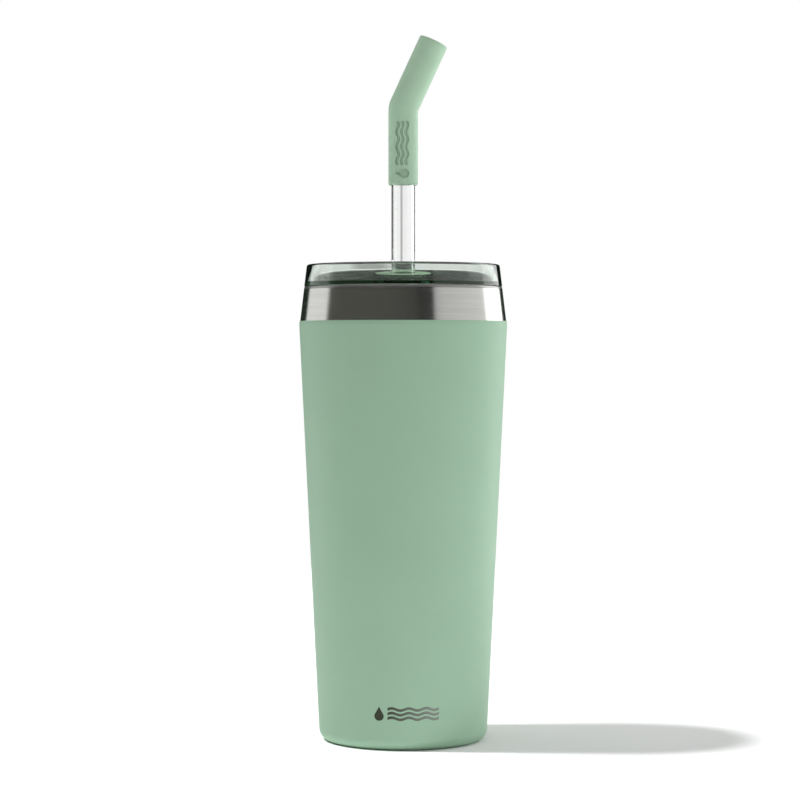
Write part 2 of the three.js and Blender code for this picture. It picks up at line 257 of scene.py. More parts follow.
def cut(piece, cutter):
    """Cuts one piece out of another, and removes the cutter."""
    pick(piece)
    boolean = piece.modifiers.new("cut", "BOOLEAN")
    boolean.operation = "DIFFERENCE"
    boolean.solver = "EXACT"
    boolean.object = cutter
    bpy.ops.object.modifier_apply(modifier=boolean.name)
    bpy.data.objects.remove(cutter)


def engrave(piece, cutter, finish_around, finish_inside):
    """Cuts a mark into a piece. The cut's faces take a finish of their own."""
    for target in (piece, cutter):
        if not target.data.materials:
            target.data.materials.append(finish_around)
            target.data.materials.append(finish_inside)
    cutter.data.polygons.foreach_set("material_index", [1] * len(cutter.data.polygons))
    cut(piece, cutter)


def smooth(piece):
    pick(piece)
    bpy.ops.object.shade_smooth_by_angle(angle=SMOOTH_ANGLE)


def seat(piece, body, node, material):
    """Gives a finished piece its material, and puts it on its body in place of its node."""
    smooth(piece)
    if not piece.data.materials:
        piece.data.materials.append(material)
    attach(piece, body)
    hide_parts(node)


def arc(x, z, size, start, end, steps=8):
    """Points of an arc in the XZ plane, between two angles in degrees."""
    points = []
    for i in range(steps + 1):
        angle = math.radians(start + (end - start) * i / steps)
        points.append((x + size * math.cos(angle), z + size * math.sin(angle)))
    return points


def eased(outline, size=EASED):
    """Rounds every sharp corner of a closed outline, apart from those on the axis."""
    points = []
    for i, corner in enumerate(outline):
        here = Vector(corner)
        before = Vector(outline[i - 1]) - here
        after = Vector(outline[(i + 1) % len(outline)]) - here
        if here.x < WELD or before.length < WELD or after.length < WELD:
            points.append(corner)
            continue
        turn = math.pi - before.angle(after)
        if turn < SMOOTH_ANGLE:
            points.append(corner)
            continue
        back = min(size, 0.45 * before.length, 0.45 * after.length)
        start = here + before.normalized() * back
        end = here + after.normalized() * back
        for share in (0.0, 0.25, 0.5, 0.75, 1.0):
            a = start.lerp(here, share)
            b = here.lerp(end, share)
            points.append(tuple(a.lerp(b, share)))
    return points


# ------------------------------------------------------------------ the cup's outline


class Wall:
    """The outer steel wall in half section. An inset is measured inwards from its outer face."""

    def __init__(self, sizes):
        self.sizes = sizes
        self.rim_height = high("inner_liner")
        self.rim_radius = reach("lid_body")
        self.lower_slope = (sizes.shoulder_radius - sizes.base_radius) / sizes.shoulder_height
        drop = self.rim_height - sizes.shoulder_height
        self.upper_slope = (self.rim_radius - sizes.shoulder_radius) / drop
        self.lower_angle = -math.degrees(math.atan(self.lower_slope))
        self.upper_angle = -math.degrees(math.atan(self.upper_slope))

    def lower(self, height, inset=0.0):
        lean = math.hypot(1, self.lower_slope)
        return self.sizes.base_radius + self.lower_slope * height - inset * lean

    def upper(self, height, inset=0.0):
        lean = math.hypot(1, self.upper_slope)
        return self.rim_radius + self.upper_slope * (height - self.rim_height) - inset * lean

    def corner(self, floor, size, inset=0.0, start=-90.0, steps=12):
        lean = math.hypot(1, self.lower_slope)
        radius = self.lower(floor + size, inset) - size * lean
        return arc(radius, floor + size, size, start, self.lower_angle, steps)

    def shoulder(self, inset=0.0, steps=8):
        sizes = self.sizes
        middle = math.radians((self.lower_angle + self.upper_angle) / 2)
        half_turn = math.radians((self.upper_angle - self.lower_angle) / 2)
        back = sizes.shoulder_round / math.cos(half_turn)
        radius = sizes.shoulder_radius - back * math.cos(middle)
        height = sizes.shoulder_height - back * math.sin(middle)
        size = sizes.shoulder_round - inset
        return arc(radius, height, size, self.lower_angle, self.upper_angle, steps)


# ------------------------------------------------------------------ finishes


def values(node, **sockets):
    """Sets constants on a node. An underscore stands for the space in a socket's name."""
    for name, value in sockets.items():
        node.inputs[name.replace("_", " ")].default_value = value


class Finish:
    """A material on a Principled shader, with the steps that the finishes here share."""

    def __init__(self, name):
        self.material = bpy.data.materials.new(name)
        self.material.use_nodes = True
        self.tree = self.material.node_tree
        self.shader = self.tree.nodes["Principled BSDF"]
        self.output = self.tree.nodes["Material Output"]
        self.place = self.add("ShaderNodeTexCoord").outputs["Object"]

    def add(self, kind, **settings):
        node = self.tree.nodes.new(kind)
        for name, value in settings.items():
            setattr(node, name, value)
        return node

    def join(self, source, target):
        self.tree.links.new(source, target)

    def constants(self, **sockets):
        values(self.shader, **sockets)

    def drive(self, name, source):
        self.join(source, self.shader.inputs[name])

    def noise(self, size, stretch=(1, 1, 1), detail=2.0, roughness=0.5):
        """Noise with features of about that size in metres, stretched along the axes."""
        mapping = self.add("ShaderNodeMapping")
        values(mapping, Scale=[1 / (size * s) for s in stretch])
        self.join(self.place, mapping.inputs["Vector"])
        noise = self.add("ShaderNodeTexNoise")
        values(noise, Scale=1.0, Detail=detail, Roughness=roughness)
        self.join(mapping.outputs["Vector"], noise.inputs["Vector"])
        return noise.outputs["Fac"]

    def between(self, source, least, most, start=0.3, end=0.7):
        """Maps a noise to a range of values."""
        node = self.add("ShaderNodeMapRange")
        values(node, From_Min=start, From_Max=end, To_Min=least, To_Max=most)
        self.join(source, node.inputs["Value"])
        return node.outputs["Result"]

    def shades(self, source, dark, light, start=0.3, end=0.7):
        """Mixes two colours by a noise."""
        mix = self.add("ShaderNodeMix", data_type="RGBA")
        values(mix, A=(*dark, 1), B=(*light, 1))
        self.join(self.between(source, 0, 1, start, end), mix.inputs["Factor"])
        return mix.outputs["Result"]

    def bump(self, height, depth, strength=1.0, under=None):
        node = self.add("ShaderNodeBump")
        values(node, Strength=strength, Distance=depth)
        self.join(height, node.inputs["Height"])
        if under is not None:
            self.join(under, node.inputs["Normal"])
        return node.outputs["Normal"]


def scaled(colour, factor):
    return tuple(min(1.0, c * factor) for c in colour)


def powder_paint():
    """Satin powder coat: a fine orange peel, with a little colour drift."""
    m = Finish("powder_paint")
    colour = tuple(bpy.context.scene.tumbler_colours.paint)
    m.constants(Specular_IOR_Level=0.35)
    drift = m.shades(m.noise(0.03, detail=3), scaled(colour, 0.985), scaled(colour, 1.015))
    m.drive("Base Color", drift)
    m.drive("Roughness", m.between(m.noise(0.004), 0.50, 0.60))
    peel = m.bump(m.noise(0.0007, detail=1), 0.000015, 0.5)
    m.drive("Normal", m.bump(m.noise(0.00015, detail=1), 0.000004, 0.4, peel))
    return m.material


def brushed_steel(name="brushed_steel", roughness=0.18, lines=0.9, tone=1.0):
    """Steel with brush lines that run round the Z axis."""
    m = Finish(name)
    colour = scaled(bpy.context.scene.tumbler_colours.steel, tone)
    m.constants(Metallic=1.0, Anisotropic=0.8, Anisotropic_Rotation=0.25)
    coarse = m.noise(0.00035, (120, 120, 1), detail=3, roughness=0.7)
    fine = m.noise(0.00012, (200, 200, 1), detail=2)
    shade = m.shades(coarse, scaled(colour, 1 - 0.10 * lines), scaled(colour, 1 + 0.06 * lines))
    m.drive("Base Color", shade)
    rough = m.between(fine, roughness - 0.05 * lines, roughness + 0.05 * lines)
    m.drive("Roughness", rough)
    round_z = m.add("ShaderNodeTangent", direction_type="RADIAL", axis="Z")
    m.drive("Tangent", round_z.outputs["Tangent"])
    m.drive("Normal", m.bump(coarse, 0.000001, 0.5 * lines))
    return m.material


def soft_silicone(name, colour, roughness=0.62):
    """Matt silicone, a little dusty and a little translucent."""
    m = Finish(name)
    m.constants(Specular_IOR_Level=0.35, Sheen_Weight=0.12, Sheen_Roughness=0.5)
    m.constants(Subsurface_Weight=0.12, Subsurface_Scale=0.001, Subsurface_Radius=(0.8, 1.0, 0.8))
    drift = m.shades(m.noise(0.006, detail=3), scaled(colour, 0.97), scaled(colour, 1.03))
    m.drive("Base Color", drift)
    grain = m.noise(0.00025, detail=2)
    m.drive("Roughness", m.between(grain, roughness - 0.05, roughness + 0.05))
    m.drive("Normal", m.bump(grain, 0.000006, 0.5))
    return m.material


def clear_plastic():
    """Clear moulded plastic. Its tint deepens with the thickness that is looked through."""
    m = Finish("tinted_plastic")
    m.constants(Transmission_Weight=1.0, IOR=1.55, Base_Color=(1, 1, 1, 1))
    m.drive("Roughness", m.between(m.noise(0.008, detail=3), 0.0, 0.03))
    m.drive("Normal", m.bump(m.noise(0.006), 0.00002, 0.3))
    depth = m.add("ShaderNodeVolumeAbsorption")
    values(depth, Color=(*bpy.context.scene.tumbler_colours.lid, 1), Density=100.0)
    m.join(depth.outputs["Volume"], m.output.inputs["Volume"])
    return m.material


def clear_glass():
    """Drawn glass tube, with faint lengthwise draw lines."""
    m = Finish("straw_glass")
    m.constants(Transmission_Weight=1.0, IOR=1.5, Base_Color=(0.975, 0.98, 0.975, 1))
    m.drive("Roughness", m.between(m.noise(0.01, detail=3), 0.0, 0.02))
    m.drive("Normal", m.bump(m.noise(0.004, (1, 1, 40)), 0.000002, 0.2))
    return m.material


def plain_metal(name, colour, roughness, grain_size, depth):
    """Plain metal with a fine grain."""
    m = Finish(name)
    m.constants(Metallic=1.0)
    grain = m.noise(grain_size, detail=4)
    m.drive("Base Color", m.shades(grain, scaled(colour, 0.85), scaled(colour, 1.1)))
    m.drive("Roughness", m.between(grain, roughness - 0.08, roughness + 0.08))
    m.drive("Normal", m.bump(grain, depth, 0.6))
    return m.material


def etched_steel():
    """Dark etched steel with painted light: its colour lightens to the right across the mark."""
    m = Finish("etched_steel")
    m.constants(Metallic=1.0)
    sideways = m.add("ShaderNodeSeparateXYZ")
    m.join(m.place, sideways.inputs[0])
    # Painted light: the colour runs from dark at the mark's left to lighter at its right.
    shade = m.shades(sideways.outputs["X"], (0.045, 0.05, 0.036), (0.22, 0.25, 0.22), -0.008, 0.016)
    m.drive("Base Color", shade)
    m.drive("Roughness", m.between(m.noise(0.0003, detail=3), 0.25, 0.40))
    return m.material


def fused_frit():
    """Dark glass solder, fused to a gloss."""
    m = Finish("fused_frit")
    m.constants(Coat_Weight=0.4, Coat_Roughness=0.1)
    grain = m.noise(0.0006, detail=4)
    m.drive("Base Color", m.shades(grain, (0.02, 0.02, 0.024), (0.07, 0.07, 0.08)))
    m.drive("Roughness", m.between(grain, 0.15, 0.35))
    m.drive("Normal", m.bump(grain, 0.00005, 0.4))
    return m.material


def finish(make, *args):
    """A finish is made once, and shared by the pieces that have it."""
    name = "finish_" + (args[0] if args else make.__name__)
    material = bpy.data.materials.get(name) or make(*args)
    material.name = name
    return material


def plate_steel():
    return finish(brushed_steel, "plate_steel", 0.30, 0.8)


# ------------------------------------------------------------------ the cup


class TUMBLER_OT_outer_wall(Operator):
    """Model the outer steel wall, with its bare brushed band"""

    bl_idname = "tumbler.outer_wall"
    bl_label = "Outer wall"

    def execute(self, context):
        s = context.scene.tumbler_cup
        wall = Wall(s)
        top = high("outer_shell")
        inner = s.shell_wall
        outline = [(s.ring_radius, 0.0)]
        outline += wall.corner(0.0, s.foot_corner)
        outline += wall.shoulder()
        outline += [(wall.upper(top), top), (wall.upper(top, inner), top)]
        outline += wall.shoulder(inner)[::-1]
        outline += wall.corner(inner, s.foot_corner - inner, inner)[::-1]
        outline += [
            (s.ring_radius, inner),
            (s.ring_radius, s.ring_flange),
            (s.ring_radius - inner, s.ring_flange),
            (s.ring_radius - inner, inner),
        ]
        piece = turned("outer_wall", outline, s.turns)
        seat(piece, "cup", "outer_shell", finish(brushed_steel))
        return {"FINISHED"}


def wave_band(left, right, height, stroke, swing, waves, steps=48):
    """The closed outline of a wavy stroke."""
    across = [left + (right - left) * i / steps for i in range(steps + 1)]
    line = [(x, height + swing * math.sin(math.tau * waves * (x - left) / (right - left))) for x in across]
    upper = [(x, z + stroke / 2) for x, z in line]
    lower = [(x, z - stroke / 2) for x, z in line]
    return lower + upper[::-1]


def water_drop(x, z, radius, rise, steps=32):
    """The closed outline of a drop: a circle drawn out to a point above it."""
    points = []
    for i in range(steps):
        angle = math.tau * i / steps
        pull = max(0.0, math.cos(angle)) ** 6
        across = radius * math.sin(angle) * (1 - 0.55 * pull)
        points.append((x + across, z + radius * math.cos(angle) + rise * pull))
    return points


def water_mark(x, z, width, height):
    """Outlines of a generic water mark: a drop, then three wavy lines."""
    drop = height * 0.33
    stroke = height * 0.20
    swing = height * 0.075
    left = x - width / 2
    outlines = [water_drop(left + drop, z - height / 2 + drop, drop, height - 2 * drop)]
    for level in (-1, 0, 1):
        line = z + level * (height / 2 - stroke / 2 - swing)
        outlines.append(wave_band(left + 2.8 * drop, x + width / 2, line, stroke, swing, 3))
    return outlines


class TUMBLER_OT_colour_coat(Operator):
    """Model the baked colour, with a water mark etched through it at the front"""

    bl_idname = "tumbler.colour_coat"
    bl_label = "Colour coat"

    def execute(self, context):
        s = context.scene.tumbler_cup
        wall = Wall(s)
        top = high("powder_coat")
        near = s.coat_clearance
        far = near + s.coat_thickness
        foot = -math.degrees(math.asin((s.foot_corner - s.coat_foot_gap) / (s.foot_corner + far)))

        def face(offset):
            low_part = wall.corner(-offset, s.foot_corner + offset, -offset, foot)
            return low_part + wall.shoulder(-offset) + [(wall.upper(top, -offset), top)]

        piece = turned("colour_coat", eased(face(far) + face(near)[::-1], 0.00008), s.turns)
        under, over = CUP_MARK_BAND
        mark_floor = s.mark_depth - far
        core_outline = [(0.0, under), (wall.lower(under, mark_floor), under)]
        core_outline += [(wall.lower(over, mark_floor), over), (0.0, over)]
        for outline in water_mark(*CUP_MARK):
            cutter = prism("mark_cutter", outline, *CUP_MARK_CUTTER)
            cut(cutter, turned("mark_core", core_outline, s.turns))
            # The mark's etched finish carries painted light, lighter towards its right.
            engrave(piece, cutter, finish(powder_paint), finish(etched_steel))
        seat(piece, "cup", "powder_coat", finish(powder_paint))
        return {"FINISHED"}


class TUMBLER_OT_inner_wall(Operator):
    """Model the inner steel wall, up to its flared and welded lip"""

    bl_idname = "tumbler.inner_wall"
    bl_label = "Inner wall"

    def execute(self, context):
        s = context.scene.tumbler_cup
        wall = Wall(s)
        rim = wall.rim_height
        under = low("inner_liner")
        floor = under + s.liner_wall
        mouth = wall.rim_radius - s.lip_width
        neck = rim - s.neck_depth
        start = neck - s.neck_blend
        outer_inset = s.shell_wall + s.vacuum_gap
        inner_inset = outer_inset + s.liner_wall
        lip = s.lip_round
        under_lip = rim - s.lip_thickness
        outline = [(0.0, under)]
        outline += wall.corner(under, s.liner_corner + s.liner_wall, outer_inset)
        outline += [
            (wall.lower(start, outer_inset), start),
            (mouth + s.liner_wall, neck),
            (mouth + s.liner_wall, under_lip),
            (wall.upper(under_lip), under_lip),
        ]
        outline += arc(wall.rim_radius - lip, rim - lip, lip, 0, 90)
        outline += arc(mouth + lip, rim - lip, lip, 90, 180)
        outline += [(mouth, neck), (wall.lower(start, inner_inset), start)]
        outline += wall.corner(floor, s.liner_corner, inner_inset)[::-1]
        outline += [(0.0, floor)]
        piece = turned("inner_wall", outline, s.turns)
        steel = finish(brushed_steel, "satin_steel", 0.34, 0.6, 0.55)
        seat(piece, "cup", "inner_liner", steel)
        return {"FINISHED"}


class TUMBLER_OT_bottom(Operator):
    """Model the bottom plate, the fused seal in it and the disc that covers them"""

    bl_idname = "tumbler.bottom"
    bl_label = "Bottom plate, seal and disc"

    def execute(self, context):
        s = context.scene.tumbler_cup
        steel = plate_steel()
        skirt = reach("bottom_cap")
        foot = low("bottom_cap")
        dimple_top = high("bottom_cap")
        dimple = 0.0055
        dimple_height = 0.0011
        hole = 0.0013
        top = dimple_top - dimple_height
        ramp = 0.0005
        chamfer = 0.0004
        outline = [
            (skirt - s.plate_wall, foot),
            (skirt, foot),
            (skirt, top - chamfer),
            (skirt - chamfer, top),
            (dimple + ramp + s.plate_wall, top),
            (dimple + s.plate_wall, dimple_top),
            (hole, dimple_top),
            (hole, dimple_top - s.plate_wall),
            (dimple, dimple_top - s.plate_wall),
            (dimple + ramp, top - s.plate_wall),
            (skirt - s.plate_wall, top - s.plate_wall),
        ]
        plate = turned("bottom_plate", eased(outline), s.turns)
        seat(plate, "cup", "bottom_cap", steel)

        radius, bead_low, bead_high = reach("vacuum_seal"), low("vacuum_seal"), high("vacuum_seal")
        middle = (bead_low + bead_high) / 2
        side = (bead_high - bead_low) / 2
        bead_edge = arc(radius - side, middle, side, -80, 80, 12)
        bead = turned("fused_bead", [(0.0, bead_low)] + bead_edge + [(0.0, bead_high)], 64)
        seat(bead, "cup", "vacuum_seal", finish(fused_frit))

        radius, under, over = reach("base_disc"), low("base_disc"), high("base_disc")
        step = 0.0001  # a shallow pressed ring stands this far below the rest
        outline = [
            (0.0, under + step),
            (radius * 0.42, under + step),
            (radius * 0.44, under),
            (radius * 0.90, under),
            (radius * 0.92, under + step),
            (radius, under + step),
            (radius, over),
            (0.0, over),
        ]
        disc = turned("bottom_disc", eased(outline, 0.00008), s.turns)
        seat(disc, "cup", "base_disc", steel)
        return {"FINISHED"}


class TUMBLER_OT_vacuum_parts(Operator):
    """Model the foil, the getter and its clip, which are sealed in the vacuum"""

    bl_idname = "tumbler.vacuum_parts"
    bl_label = "Vacuum parts"

    def execute(self, context):
        s = context.scene.tumbler_cup
        wall = Wall(s)
        under, over = low("heat_shield"), high("heat_shield")
        clearance, thickness = 0.0003, 0.0002
        inner = s.shell_wall + s.vacuum_gap - clearance
        outer = inner - thickness
        outline = [
            (wall.lower(under, outer), under),
            (wall.lower(over, outer), over),
            (wall.lower(over, inner), over),
            (wall.lower(under, inner), under),
        ]
        shield = turned("foil_wrap", outline, s.turns)
        foil = finish(plain_metal, "bright_foil", (0.80, 0.80, 0.81), 0.22, 0.004, 0.0001)
        seat(shield, "cup", "heat_shield", foil)

        lowest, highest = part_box("getter")
        middle = (lowest + highest) / 2
        deselect()
        bpy.ops.mesh.primitive_cylinder_add(
            vertices=64, radius=(highest.y - lowest.y) / 2, depth=highest.z - lowest.z, location=middle
        )
        pellet = bpy.context.object
        pellet.name = "getter_pellet"
        bpy.ops.object.mode_set(mode="EDIT")
        bpy.ops.mesh.bevel(offset=0.0002, segments=3, affect="EDGES")
        settle(pellet)
        alloy = finish(plain_metal, "sintered_alloy", (0.20, 0.20, 0.21), 0.6, 0.0004, 0.00005)
        seat(pellet, "cup", "getter", alloy)

        lowest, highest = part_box("getter_clip")
        sheet = 0.0003
        tab = 0.003
        left, right = lowest.x, highest.x
        outline = [
            (left, highest.z - sheet),
            (left + tab, highest.z - sheet),
            (left + tab, lowest.z),
            (right - tab, lowest.z),
            (right - tab, highest.z - sheet),
            (right, highest.z - sheet),
            (right, highest.z),
            (right - tab - sheet, highest.z),
            (right - tab - sheet, lowest.z + sheet),
            (left + tab + sheet, lowest.z + sheet),
            (left + tab + sheet, highest.z),
            (left, highest.z),
        ]
        clip = prism("getter_strip", eased(outline, 0.00012), lowest.y, highest.y)
        seat(clip, "cup", "getter_clip", plate_steel())
        return {"FINISHED"}


# ------------------------------------------------------------------ the lid


class TUMBLER_OT_lid(Operator):
    """Model the clear lid, with its raised rim, its deck and the plug under it"""

    bl_idname = "tumbler.lid"
    bl_label = "Lid"

    def execute(self, context):
        s = context.scene.tumbler_lid
        cup = context.scene.tumbler_cup
        top = high("lid_body")
        foot = low("lid_body")
        flange = foot + s.plug_depth
        radius = reach("lid_body")
        rim = radius - s.taper
        recess = rim - s.rim_width
        deck = top - s.deck_depth
        deck_under = deck - s.deck_thickness
        plug = radius - cup.lip_width - s.plug_clearance
        plug_inner = plug - s.plug_wall
        groove_low = foot + s.groove_up
        groove_high = groove_low + s.groove_height
        hole = reach("glass_straw") + s.bore_clearance + s.neck_wall + s.neck_clearance
        chamfer, root = 0.0006, 0.001
        outline = [
            (plug_inner, foot),
            (plug - chamfer, foot),
            (plug, foot + chamfer),
            (plug, groove_low),
            (plug - s.groove_depth, groove_low),
            (plug - s.groove_depth, groove_high),
            (plug, groove_high),
            (plug, flange),
            (radius, flange),
        ]
        outline += arc(rim - s.edge, top - s.edge, s.edge, 0, 90)
        outline += arc(recess + s.edge, top - s.edge, s.edge, 90, 180)
        corner = recess - s.draft - s.deck_corner
        outline += arc(corner, deck + s.deck_corner, s.deck_corner, 0, -90)
        outline += [(hole, deck), (hole, deck_under)]
        outline += arc(plug_inner - root, deck_under - root, root, 90, 0)
        piece = turned("clear_lid", eased(outline), cup.turns)
        deselect()
        bpy.ops.mesh.primitive_cylinder_add(
            vertices=48, radius=s.vent_radius, depth=4 * s.deck_thickness, location=(-s.vent_offset, 0, deck)
        )
        cut(piece, settle(context.object))
        seat(piece, "lid", "lid_body", finish(clear_plastic))
        return {"FINISHED"}


class TUMBLER_OT_lid_seal(Operator):
    """Model the silicone ring in the plug's groove, with its two soft lips"""

    bl_idname = "tumbler.lid_seal"
    bl_label = "Lid seal"

    def execute(self, context):
        s = context.scene.tumbler_lid
        cup = context.scene.tumbler_cup
        foot, top, lip = low("lid_seal"), high("lid_seal"), reach("lid_seal")
        plug = reach("lid_body") - cup.lip_width - s.plug_clearance
        clearance, proud = 0.0001, 0.00015
        inner = plug - s.groove_depth + clearance
        collar = plug + proud
        root = 0.0008  # a lip's thickness at the collar
        tip = 0.0004  # and at its nose

        def lip_at(height):
            middle = height + root / 2
            nose = arc(lip - tip / 2, middle, tip / 2, -90, 90, 8)
            return [(collar, height)] + nose + [(collar, height + root)]

        outline = [(inner, foot)] + lip_at(foot) + lip_at(top - root) + [(inner, top)]
        piece = turned("seal_ring", eased(outline, 0.0001), cup.turns)
        colour = tuple(context.scene.tumbler_colours.silicone)
        silicone = finish(soft_silicone, "lid_silicone", colour)
        seat(piece, "lid", "lid_seal", silicone)
        return {"FINISHED"}


class TUMBLER_OT_grommet(Operator):
    """Model the soft ring that seals the straw in the lid"""

    bl_idname = "tumbler.grommet"
    bl_label = "Straw grommet"

    def execute(self, context):
        s = context.scene.tumbler_lid
        foot, upper = low("straw_grommet"), reach("straw_grommet")
        top = high("lid_body") - s.deck_depth + s.flange_gap + s.flange
        bore = reach("glass_straw") + s.bore_clearance
        neck = bore + s.neck_wall
        under_top = top - s.flange
        over_bottom = foot + s.flange
        edge = 0.0003
        thin = s.flange_edge
        outline = [(bore, foot)]
        outline += arc(s.lower_flange - edge, foot + edge, edge, -90, 0)
        outline += [(s.lower_flange, over_bottom), (neck, over_bottom), (neck, under_top)]
        outline += arc(upper - thin / 2, top - thin / 2, thin / 2, -80, 90)
        outline += [(bore, top)]
        piece = turned("grommet_ring", eased(outline, 0.0001), 128)
        colour = tuple(context.scene.tumbler_colours.grommet)
        silicone = finish(soft_silicone, "grommet_silicone", colour, 0.5)
        seat(piece, "grommet", "straw_grommet", silicone)
        return {"FINISHED"}


# ------------------------------------------------------------------ the straw


class TUMBLER_OT_straw(Operator):
    """Model the glass straw, with fire-polished ends"""

    bl_idname = "tumbler.straw"
    bl_label = "Glass straw"

    def execute(self, context):
        s = context.scene.tumbler_straw
        foot, top, radius = low("glass_straw"), high("glass_straw"), reach("glass_straw")
        bore = radius - s.wall
        round_end = s.polish
        outline = arc(bore + round_end, foot + round_end, round_end, 180, 270)
        outline += arc(radius - round_end, foot + round_end, round_end, -90, 0)
        outline += arc(radius - round_end, top - round_end, round_end, 0, 90)
        outline += arc(bore + round_end, top - round_end, round_end, 90, 180)
        piece = turned("glass_tube", outline, s.turns)
        seat(piece, "straw", "glass_straw", finish(clear_glass))
        return {"FINISHED"}


def swept_tube(name, start_radius, start_height, rings, bend_start, bend_angle, pivot, sides):
    """Extrudes a ring along the tube's line. A ring is (radius, distance along the line).
    Past the bend's start it turns about the pivot, and past the bend it goes straight on."""
    deselect()
    bpy.ops.mesh.primitive_circle_add(vertices=sides, radius=start_radius, location=(0, 0, start_height))
    piece = bpy.context.object
    piece.name = piece.data.name = name
    bpy.ops.object.mode_set(mode="EDIT")
    centre_line = pivot.x

    def place(distance):
        angle = min(max((distance - bend_start) / centre_line, 0.0), bend_angle)
        beyond = distance - bend_start - angle * centre_line
        x = pivot.x - centre_line * math.cos(angle) + beyond * math.sin(angle)
        z = bend_start + centre_line * math.sin(angle) + beyond * math.cos(angle)
        return Vector((x, 0, z)), angle

    radius = start_radius
    centre, lean = place(start_height)
    for next_radius, distance in rings:
        next_centre, next_lean = place(distance)
        bpy.ops.mesh.extrude_region_move(TRANSFORM_OT_translate={"value": next_centre - centre})
        if next_lean != lean:
            bpy.ops.transform.rotate(value=lean - next_lean, orient_axis="Y", center_override=next_centre)
        if next_radius != radius:
            share = next_radius / radius
            bpy.ops.transform.resize(value=(share, share, share), center_override=next_centre)
        radius, centre, lean = next_radius, next_centre, next_lean
    return welded(piece)


class TUMBLER_OT_mouthpiece(Operator):
    """Model the bent silicone mouthpiece, with a water mark moulded into its front"""

    bl_idname = "tumbler.mouthpiece"
    bl_label = "Mouthpiece"

    def execute(self, context):
        s = context.scene.tumbler_straw
        glass = reach("glass_straw")
        bore = glass - s.wall
        socket = glass + s.clearance
        outer = socket + s.silicone_wall
        foot = low("mouthpiece")
        stop = high("glass_straw") + s.stop_gap
        bend = stop + s.bend_above
        pivot = Vector((outer + s.bend_slack, 0, bend))
        bend_length = pivot.x * s.bend_angle
        top = bend + bend_length + s.tip_length
        bend_rings = [bend + bend_length * i / 16 for i in range(17)]
        low_rings = [foot + s.bottom_edge + (bend - foot - s.bottom_edge) * i / 10 for i in range(1, 10)]
        rings = arc(outer - s.bottom_edge, foot + s.bottom_edge, s.bottom_edge, -90, 0)
        rings += [(outer, z) for z in low_rings + bend_rings]
        rings += arc(outer - s.tip_edge, top - s.tip_edge, s.tip_edge, 0, 90)
        rings += arc(bore + s.tip_edge / 2, top - s.tip_edge / 2, s.tip_edge / 2, 90, 180)
        rings += [(bore, z) for z in bend_rings[::-1]]
        rings += [(bore, stop), (socket, stop), (socket, foot + EASED), (socket + EASED, foot)]
        piece = swept_tube(
            "soft_mouthpiece", socket + EASED, foot, rings, bend, s.bend_angle, pivot, s.turns
        )
        colour = tuple(context.scene.tumbler_colours.silicone)
        silicone = finish(soft_silicone, "mouthpiece_silicone", colour)
        # Painted shade: the mark's recess takes a darker copy of the silicone.
        hollow_painted_shade = finish(soft_silicone, "moulded_mark", scaled(colour, TIP_MARK_PAINTED_SHADE))
        for outline in water_mark(*TIP_MARK):
            upright = [(TIP_MARK_SIDE - z, x + foot + TIP_MARK_UP) for x, z in outline]
            cutter = prism("mark_cutter", upright, *TIP_MARK_CUTTER)
            deselect()
            bpy.ops.mesh.primitive_cylinder_add(
                vertices=s.turns, radius=outer - s.mark_depth, depth=0.08, location=(0, 0, foot)
            )
            cut(cutter, settle(context.object))
            engrave(piece, cutter, silicone, hollow_painted_shade)
        seat(piece, "mouthpiece", "mouthpiece", silicone)
        return {"FINISHED"}


# ------------------------------------------------------------------ the set


# Light round the object, by degrees from the front, clockwise seen from above.
PANELS = (
    (-180, 0.02), (-141, 0.025), (-137, 1.0), (-98, 1.0), (-93, 0.085), (-20, 0.065),
    (13, 0.04), (20, 0.015), (34, 0.015), (37, 0.55), (45, 0.68), (106, 0.9), (109, 2.4), (146, 2.4),
    (149, 0.025), (180, 0.02),
)
OVERHEAD = 0.76
FAR_FLOOR = 0.6  # light from below, past the floor's edge
DARK_FRONT = (1.0, 1.0, 0.84)  # the dark studio in front is a little warm
DARK_BACK = (0.6, 1.0, 0.65)  # behind, it takes a little of the object's colour
BACKDROP = 1.0  # what clear parts show straight behind them
POST = 0.5  # how much a post behind the object takes from that
PEAK = 4.0  # the brightest light that the ramp can hold
PANEL_TOP = (34, 50)  # degrees up, between which the panels give way to the overhead light
FLOOR_EDGE = -6  # degrees up, where the far floor starts
POST_EDGES = (-3.8, -2.4, -1.2, -0.2)  # degrees from straight behind: in, full, full, out
FLOOR_RADIUS = 0.8
KEY_ENERGY = 2.8
KEY_WIDTH = 5.5  # degrees, which sets how soft the shadow's end is
KEY_HEIGHT = 61  # degrees up
EYE = (-0.0013, -0.993, 0.1573)
EYE_DOWN = 1.146  # degrees
LENS = 110.25


